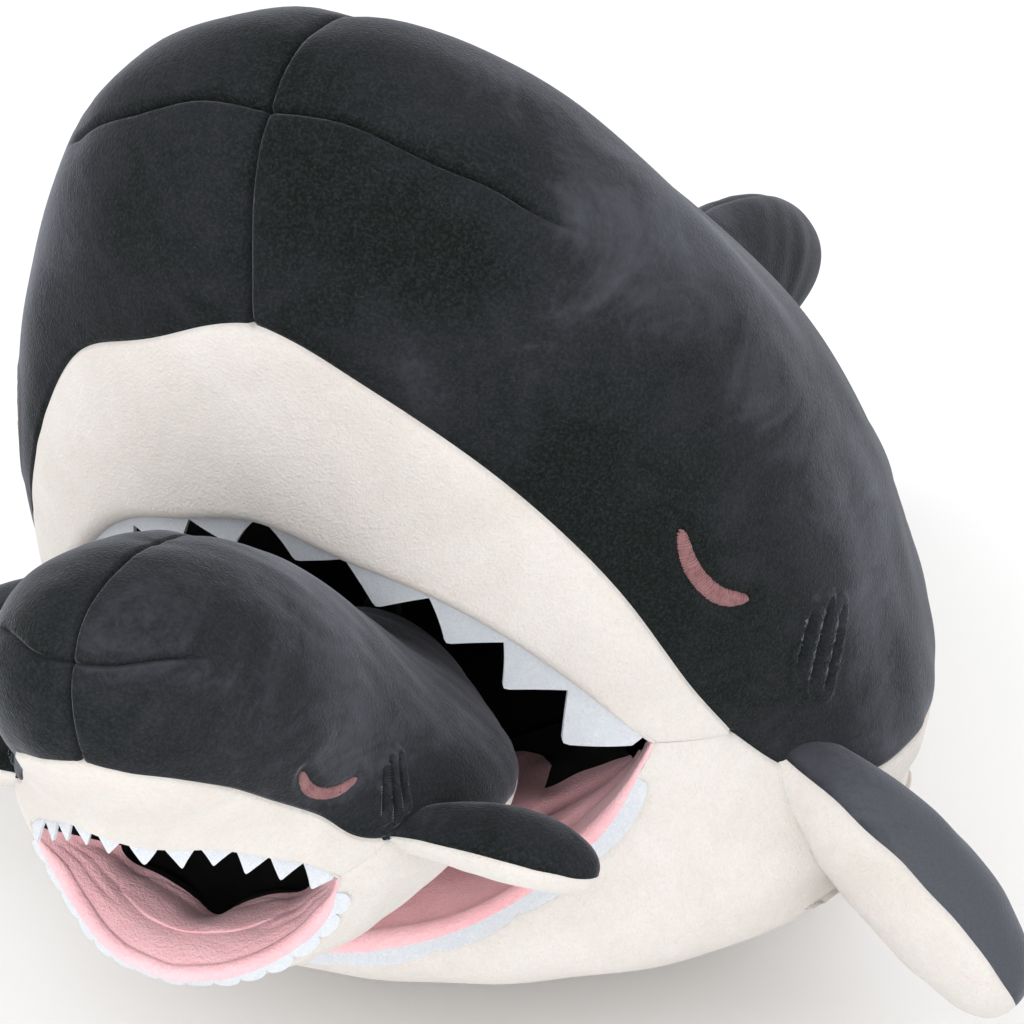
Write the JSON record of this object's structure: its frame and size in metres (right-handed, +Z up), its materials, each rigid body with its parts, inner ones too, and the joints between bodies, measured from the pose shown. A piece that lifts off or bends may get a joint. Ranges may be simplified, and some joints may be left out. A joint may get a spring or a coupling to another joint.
{
  "type": "plush shark",
  "caption": "Soft plush shark with a wide open toothed mouth that holds a smaller plush shark of the same shape, which pulls out.",
  "frame": {"origin": "middle of the box around the whole toy, on the surface that the belly rests on", "axes": "+Z up, -Y towards the snout, +X to the shark's left"},
  "size_m": [0.4542, 0.6803, 0.3631],
  "materials": {
    "charcoal_plush": "short-pile brushed plush, soft sheen",
    "cream_plush": "short-pile brushed plush",
    "pink_plush": "short-pile plush",
    "black_lining": "matt woven lining",
    "white_felt": "cut felt",
    "eye_thread": "satin stitch thread",
    "gill_thread": "sewn tuck with thread",
    "fibre_filling": "polyester fibre"
  },
  "bodies": {
    "shark": {"back_left": "charcoal_plush", "back_right": "charcoal_plush", "lip_band": "cream_plush", "belly": "cream_plush", "palate": "black_lining", "mouth_lining": "pink_plush", "tongue": "pink_plush", "upper_teeth": "white_felt", "lower_teeth": "white_felt", "eye_left": "eye_thread", "eye_right": "eye_thread", "gills_left": "gill_thread", "gills_right": "gill_thread", "filling": "fibre_filling"},
    "fin_left": {"fin_left_top": "charcoal_plush", "fin_left_under": "cream_plush", "fin_left_filling": "fibre_filling"},
    "fin_right": {"fin_right_top": "charcoal_plush", "fin_right_under": "cream_plush", "fin_right_filling": "fibre_filling"},
    "dorsal": {"dorsal_left": "charcoal_plush", "dorsal_right": "charcoal_plush", "dorsal_filling": "fibre_filling"},
    "tail": {"tail_left": "charcoal_plush", "tail_right": "charcoal_plush", "tail_filling": "fibre_filling"},
    "pup": {"pup_back_left": "charcoal_plush", "pup_back_right": "charcoal_plush", "pup_lip_band": "cream_plush", "pup_belly": "cream_plush", "pup_palate": "black_lining", "pup_mouth_lining": "pink_plush", "pup_tongue": "pink_plush", "pup_upper_teeth": "white_felt", "pup_lower_teeth": "white_felt", "pup_eye_left": "eye_thread", "pup_eye_right": "eye_thread", "pup_gills_left": "gill_thread", "pup_gills_right": "gill_thread", "pup_filling": "fibre_filling"},
    "pup_fin_left": {"pup_fin_left_top": "charcoal_plush", "pup_fin_left_under": "cream_plush", "pup_fin_left_filling": "fibre_filling"},
    "pup_fin_right": {"pup_fin_right_top": "charcoal_plush", "pup_fin_right_under": "cream_plush", "pup_fin_right_filling": "fibre_filling"},
    "pup_tail": {"pup_tail_left": "charcoal_plush", "pup_tail_right": "charcoal_plush", "pup_tail_filling": "fibre_filling"}
  },
  "joints": [
    {"name": "pup_pull", "type": "slide", "parent": "shark", "child": "pup", "axis": [0.1219, -0.9925, 0], "range_m": [0, 0.3]},
    {"name": "fin_left_flap", "type": "hinge", "parent": "shark", "child": "fin_left", "pos_m": [0.15436, -0.07718, 0.08708], "axis": [0.4443, -0.8021, 0.3991], "range_deg": [-12, 18], "stiffness_Nm_per_rad": 1.5},
    {"name": "fin_right_flap", "type": "hinge", "parent": "shark", "child": "fin_right", "pos_m": [-0.15436, -0.07718, 0.08708], "axis": [0.4443, 0.8021, -0.3991], "range_deg": [-12, 18], "stiffness_Nm_per_rad": 1.5},
    {"name": "dorsal_bend", "type": "hinge", "parent": "shark", "child": "dorsal", "pos_m": [0, 0.1439, 0.1672], "axis": [0, 0.2607, 0.9654], "range_deg": [-10, 10], "stiffness_Nm_per_rad": 1},
    {"name": "tail_wag", "type": "hinge", "parent": "shark", "child": "tail", "pos_m": [0, 0.2849, 0.058], "axis": [0, 0, 1], "range_deg": [-15, 15], "stiffness_Nm_per_rad": 0.5},
    {"name": "pup_fin_left_flap", "type": "hinge", "parent": "pup", "child": "pup_fin_left", "pos_m": [0.08192, -0.2301, 0.1388], "axis": [0.3132, -0.9193, 0.2382], "range_deg": [-10, 15], "stiffness_Nm_per_rad": 0.08},
    {"name": "pup_fin_right_flap", "type": "hinge", "parent": "pup", "child": "pup_fin_right", "pos_m": [-0.06538, -0.24819, 0.1388], "axis": [0.0815, 0.9678, -0.2382], "range_deg": [-10, 15], "stiffness_Nm_per_rad": 0.08},
    {"name": "pup_tail_wag", "type": "hinge", "parent": "pup", "child": "pup_tail", "pos_m": [-0.00794, -0.10714, 0.125], "axis": [0, 0, 1], "range_deg": [-12, 12], "stiffness_Nm_per_rad": 0.02}
  ]
}
